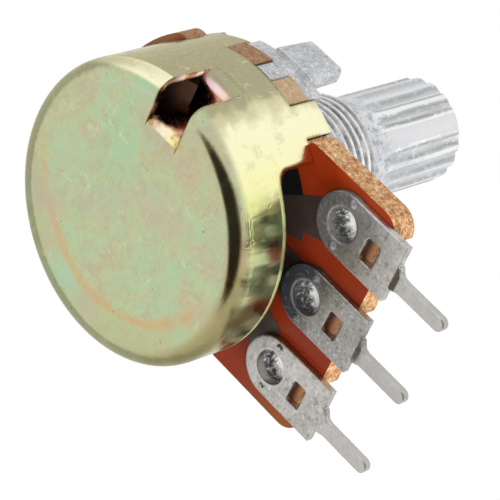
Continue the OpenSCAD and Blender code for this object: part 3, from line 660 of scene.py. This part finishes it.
def zinc():
    """Grainy die-cast zinc, with a painted highlight on the bush's thread crests and painted shade in its
    roots, and edges painted bright, partly rubbed metal and partly painted highlight.
    """
    t = Tree("cast_zinc")
    x, y, z = t.xyz()
    r = t.radius(x, y)
    cloud = t.noise(600, 4, 0.6)
    grain = t.noise(5600, 4, 0.8)
    coarse = t.noise(2600, 5, 0.75)
    base = t.ramp(cloud, [(0.3, (0.33, 0.34, 0.35)), (0.7, (0.50, 0.51, 0.52))])
    base = t.spots(base, grain, 0.52, 0.64, 0.6, (0.88, 0.89, 0.90))
    base = t.spots(base, coarse, 0.54, 0.66, 0.5, (0.84, 0.85, 0.86))
    base = t.spots(base, coarse, 0.46, 0.34, 0.55, (0.12, 0.12, 0.125))

    on_bush = t.both(t.at(z, 0.05, 0.15), t.at(r, 3.7, 3.6))
    # the thread's roots get painted shade, lighter in patches, and its crests a painted highlight
    root_patches = t.span(t.noise(1500, 3, 0.6), 0.35, 0.65)
    root = t.mix(root_patches, (0.20, 0.20, 0.205), (0.55, 0.55, 0.54))
    thread = t.mix(t.at(r, 3.36, 3.47), root, (0.95, 0.95, 0.93))
    thread = t.spots(thread, coarse, 0.50, 0.62, 0.55, (0.40, 0.40, 0.40))
    thread = t.spots(thread, cloud, 0.52, 0.66, 0.5, (0.80, 0.80, 0.79))
    base = t.mix(t.mul(on_bush, 0.9), base, thread)
    # sharp edges painted bright, partly rubbed metal and partly painted highlight
    edge_wear_and_highlight = t.both(t.sharp_edges(0.14 * MM), t.span(t.noise(1900, 3, 0.6), 0.36, 0.56, 0.25, 1.0),
                    t.at(r, 3.9, 4.1, 0.0, 0.85))
    base = t.mix(edge_wear_and_highlight, base, (0.97, 0.97, 0.96))
    t.set("Base Color", base)
    t.set("Metallic", 0.25)
    t.set("Roughness", 0.40)
    height = t.add(grain, t.mul(cloud, 1.5))
    t.set("Normal", t.bump(height, 0.9, 0.08 * MM, t.soft_edges(0.18 * MM)))
    return t.mat


def turned():
    """Bright turned metal: pressed grooves with painted shade on their flanks and painted highlights in and
    between them, and a plain land in place of one groove.
    """
    t = Tree("turned_aluminium")
    x, y, z = t.xyz()
    lines = t.noise(2200, 3, 0.6, t.stretch((1, 1, 0.06)))
    smear = t.noise(900, 4, 0.65, t.stretch((1, 1, 0.45)))
    crumb = t.noise(2600, 4, 0.7)
    base = t.ramp(lines, [(0.32, (0.58, 0.59, 0.60)), (0.5, (0.70, 0.705, 0.71)),
                          (0.68, (0.80, 0.80, 0.80))])
    base = t.spots(base, smear, 0.50, 0.66, 0.75, (0.44, 0.45, 0.47))
    base = t.spots(base, crumb, 0.54, 0.66, 0.65, (0.97, 0.97, 0.97))

    # the places of the knurl are counted from the plain land; across is 0 in a groove, 0.5 on a crest
    angle = t.math("ARCTAN2", y, x)
    from_land = t.sub(angle, PLAIN_LAND)
    place = t.math("DIVIDE", from_land, KNURL_STEP)
    sway = t.span(t.noise(900, 2, 0.5, t.stretch((1, 1, 0.3))), 0.3, 0.7, -0.06, 0.06, False)
    across = t.abs(t.sub(t.math("FRACT", t.add(t.add(place, sway), 0.5)), 0.5))
    land = t.span(t.abs(place), 0.50, 0.42)
    on_head = t.both(t.at(z, 8.0, 9.0), t.at(t.radius(x, y), 2.4, 2.6))
    # painted shade on the grooves' flanks and painted highlight on their bottoms and crests
    flank = t.ramp(across, [(0.0, (0.84, 0.84, 0.84)), (0.12, (0.72, 0.725, 0.73)),
                            (0.24, (0.26, 0.27, 0.28)), (0.33, (0.42, 0.43, 0.44)),
                            (0.42, (0.86, 0.86, 0.86)), (0.5, (0.80, 0.80, 0.80))])
    flank = t.spots(flank, smear, 0.46, 0.62, 0.65, (0.62, 0.63, 0.65))
    flank = t.spots(flank, crumb, 0.54, 0.64, 0.6, (0.95, 0.95, 0.95))
    base = t.paint(base, t.both(on_head, t.sub(1.0, land)), 0.8, flank)
    base = t.mix(t.both(on_head, t.mul(land, 0.85)), base, (0.66, 0.66, 0.67))
    # a painted highlight along one side of the knurl
    gleam = t.both(on_head, t.band(angle, GLEAM, math.radians(7), math.radians(3)))
    base = t.paint(base, gleam, 0.8, (0.97, 0.97, 0.97))

    # greyer and pitted toward the bush, and painted shade on one side
    base = t.mix(t.mul(t.at(z, 8.6, 7.4), 0.5), base, (0.52, 0.54, 0.57))
    pitted = t.both(t.at(z, 9.6, 7.6), t.span(t.noise(2400, 4, 0.75), 0.50, 0.62, 0.0, 0.75))
    base = t.mix(pitted, base, (0.26, 0.27, 0.29))
    under = t.span(from_land, math.radians(18), math.radians(50), 0.0, 0.45)
    base = t.mix(under, base, (0.46, 0.47, 0.48))
    t.set("Base Color", base)
    t.set("Metallic", 0.7)
    t.set("Roughness", 0.34)
    height = t.add(t.mul(lines, 0.4), t.add(smear, t.mul(crumb, 0.5)))
    t.set("Normal", t.bump(height, 0.30, 0.06 * MM, t.soft_edges(0.16 * MM)))
    return t.mat


def plain(name, dark, light, rough, metallic=0.0):
    """A material of two close colours, for the pieces inside."""
    t = Tree(name)
    cloud = t.noise(700, 4, 0.6)
    t.set("Base Color", t.ramp(cloud, [(0.3, dark), (0.7, light)]))
    t.set("Metallic", metallic)
    t.set("Roughness", rough)
    t.set("Normal", t.bump(cloud, 0.1, 0.03 * MM))
    return t.mat


# ---------------------------------------------------------------- the threaded front plate

def thread_radius(turn, z, root, crest, pitch):
    """Radius of the thread at a turn (0 to 1) and a height, with flat roots and crests."""
    flat_root, flank = 0.20, 0.68       # shares of half a pitch, and the rest is the flat crest
    phase = (z / pitch - turn) % 1.0
    from_root = abs(2 * phase - 1)
    level = min(max((from_root - flat_root) / flank, 0.0), 1.0)
    return root + (crest - root) * level


def threaded_plate():
    """The cast plate with its bush's M7 x 0.5 thread, in place of the plain cylinder. All is in mm."""
    root, crest, pitch = 3.19, 3.5, 0.5
    end, end_r = 7.0, 3.2               # the bush's end, and its radius there
    neck, first_turn = 0.12, 0.3        # the heights where the neck and the thread's rows begin
    fade_from, fade_over = 0.5, 0.6     # the thread grows out of the neck over these heights
    around, steps = 180, 190            # points in a row, and rows along the thread
    slack = 0.01                        # for telling which faces are the plain cylinder's

    src = nodes["front_plate"].data
    verts = [tuple(v.co / MM) for v in src.vertices]
    faces = []
    for poly in src.polygons:
        rs = [math.hypot(verts[i][0], verts[i][1]) for i in poly.vertices]
        zs = [verts[i][2] for i in poly.vertices]
        on_bush = min(rs) > end_r - slack and max(rs) < crest + slack and min(zs) > -slack
        is_level = abs(poly.normal.z) >= 0.95
        if is_level or not on_bush:
            faces.append(tuple(poly.vertices))

    first = len(verts)
    climb = [first_turn + (end - first_turn - 0.02) * (i + 1) / steps for i in range(steps)]
    heights = [0.0, neck, first_turn] + climb + [end]
    for k, z in enumerate(heights):
        for i in range(around):
            turn = i / around
            if k == 0:
                r = crest
            elif k == len(heights) - 1:
                r = end_r
            else:
                fade = min(max((z - fade_from) / fade_over, 0.0), 1.0)
                r = root + (thread_radius(turn, z, root, crest, pitch) - root) * fade
                r = min(r, end_r + (end - z))
            a = 2 * math.pi * turn
            verts.append((r * math.cos(a), r * math.sin(a), z))
    for k in range(len(heights) - 1):
        low_row, high_row = first + k * around, first + (k + 1) * around
        for i in range(around):
            j = (i + 1) % around
            faces.append((low_row + i, low_row + j, high_row + j, high_row + i))

    mesh = bpy.data.meshes.new("threaded_plate")
    mesh.from_pydata([(v[0] * MM, v[1] * MM, v[2] * MM) for v in verts], [], faces)
    mesh.update()
    ob = add_object("threaded_plate", mesh)
    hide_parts("front_plate")
    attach(ob, "housing")
    return ob


# ---------------------------------------------------------------- the scene

bpy.context.scene.view_settings.view_transform = "Standard"
add_camera()
add_world()
low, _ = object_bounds()
add_floor(low[2] - 0.02 * MM)
add_card("dark_card", way=(-0.38, -0.75, -0.57), distance=120, radius=185, shade=0.04)
# places and sizes in metres, power in watts
add_lamp("key", place=(-0.45, 0.12, 0.10), size=0.30, power=1.2)
add_lamp("fill", place=(0.05, -0.50, -0.18), size=0.30, power=3.4)
add_lamp("back", place=(-0.12, -0.22, -0.50), size=0.30, power=1.5)
add_lamp("top", place=(0.10, 0.15, 0.55), size=0.40, power=1.6)

dress("rear_cover", chromate())
dress("terminal_board", laminate())
# the three terminals' tins are lit copies of one material: light is painted lighting, dark is painted
# shadow
dress("terminal_left", tin("tin_left", -PIN_PITCH, dark=0.45, light=1.9))
dress("terminal_middle", tin("tin_middle", 0, dark=0.95, light=1.35))
dress("terminal_right", tin("tin_right", PIN_PITCH, dark=0.0, light=1.9))
zinc_mat = zinc()
dress("front_plate", zinc_mat)
plate = threaded_plate()
plate.data.materials.append(zinc_mat)
dress("shaft", turned())
dress("retaining_ring", plain("spring_steel", (0.10, 0.10, 0.11), (0.2, 0.2, 0.2), rough=0.4, metallic=1.0))
dress("rotor", plain("moulded_plastic", (0.10, 0.05, 0.035), (0.20, 0.10, 0.06), rough=0.5))
dress("wiper_spring", plain("spring_bronze", (0.5, 0.3, 0.12), (0.65, 0.42, 0.2), rough=0.3, metallic=1.0))
dress("resistive_track", plain("carbon_print", (0.006, 0.006, 0.007), (0.015, 0.015, 0.016), rough=0.35))
dress("collector_ring", plain("silver_print", (0.3, 0.3, 0.3), (0.42, 0.42, 0.41), rough=0.5))
lead = plain("lead_print", (0.030, 0.020, 0.015), (0.052, 0.036, 0.028), rough=0.45)
for side in ("left", "middle", "right"):
    dress("lead_print_" + side, lead)
